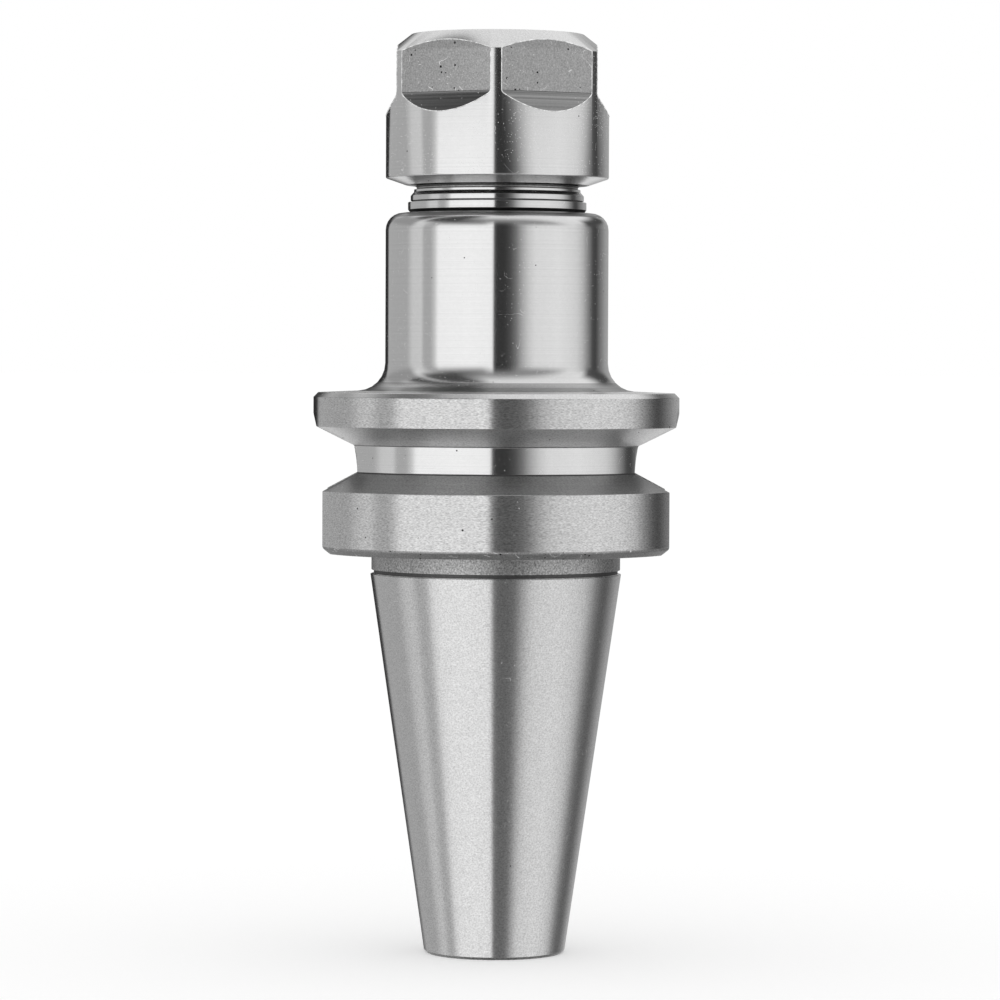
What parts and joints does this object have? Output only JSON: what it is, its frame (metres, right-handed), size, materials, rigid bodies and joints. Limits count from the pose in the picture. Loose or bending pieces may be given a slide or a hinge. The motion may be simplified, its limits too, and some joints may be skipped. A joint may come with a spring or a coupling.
{
  "type": "collet chuck holder",
  "caption": "Steep-taper tool holder with a gripper flange, a cylindrical body, a hexagonal clamping nut and a spring collet inside.",
  "frame": {"origin": "centre of the spindle taper's gauge line, where the taper is 31.75 mm across", "axes": "+Z along the spindle axis, from the taper's small end towards the clamping nut; +X and -X point out of the two drive slots"},
  "size_m": [0.046, 0.046, 0.1154],
  "materials": {
    "holder_steel": "fine turned and ground, bright",
    "nut_steel": "polished cylinder with satin milled flats",
    "collet_steel": "ground, satin"
  },
  "bodies": {
    "holder": {"holder_body": "holder_steel"},
    "collet": {"collet": "collet_steel"},
    "nut": {"clamping_nut": "nut_steel"}
  },
  "joints": [
    {"name": "collet_slide", "type": "slide", "parent": "holder", "child": "collet", "axis": [0, 0, 1], "range_m": [0, 0.009]},
    {"name": "nut_turn", "type": "hinge", "parent": "collet", "child": "nut", "pos_m": [0, 0, 0.0575], "axis": [0, 0, 1], "range_deg": [0, 2159.9]}
  ],
  "couplings": [
    {"joint": "collet_slide", "follows": "nut_turn", "m_per_rad": 0.00023873}
  ]
}
